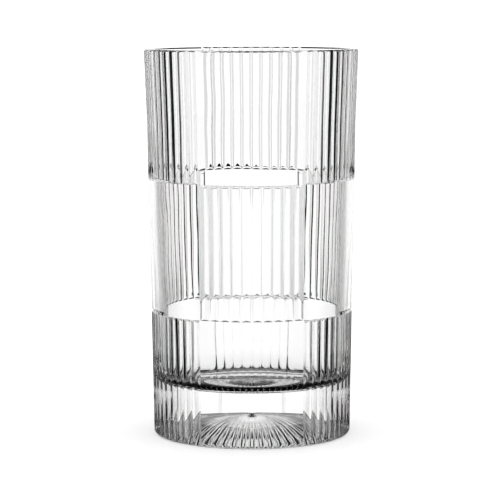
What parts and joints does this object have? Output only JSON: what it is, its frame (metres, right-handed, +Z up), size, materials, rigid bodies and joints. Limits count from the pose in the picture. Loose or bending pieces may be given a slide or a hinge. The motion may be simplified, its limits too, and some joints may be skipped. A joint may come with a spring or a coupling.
{
  "type": "highball glass",
  "caption": "Tall pressed-glass tumbler with fluted and plain panels in a checkerboard, a heavy solid base and a sunburst underneath.",
  "frame": {"origin": "centre of the resting ring, on the plane that the glass stands on", "axes": "+Z up along the axis of the glass, -Y out of the middle of a panel column that is plain, fluted, plain from top to bottom"},
  "size_m": [0.08, 0.08, 0.1444],
  "materials": {
    "clear_glass": "fire-polished clear pressed glass"
  },
  "bodies": {
    "root": {"base": "clear_glass", "lower_band": "clear_glass", "middle_band": "clear_glass", "upper_band": "clear_glass", "mouth": "clear_glass"}
  },
  "joints": []
}
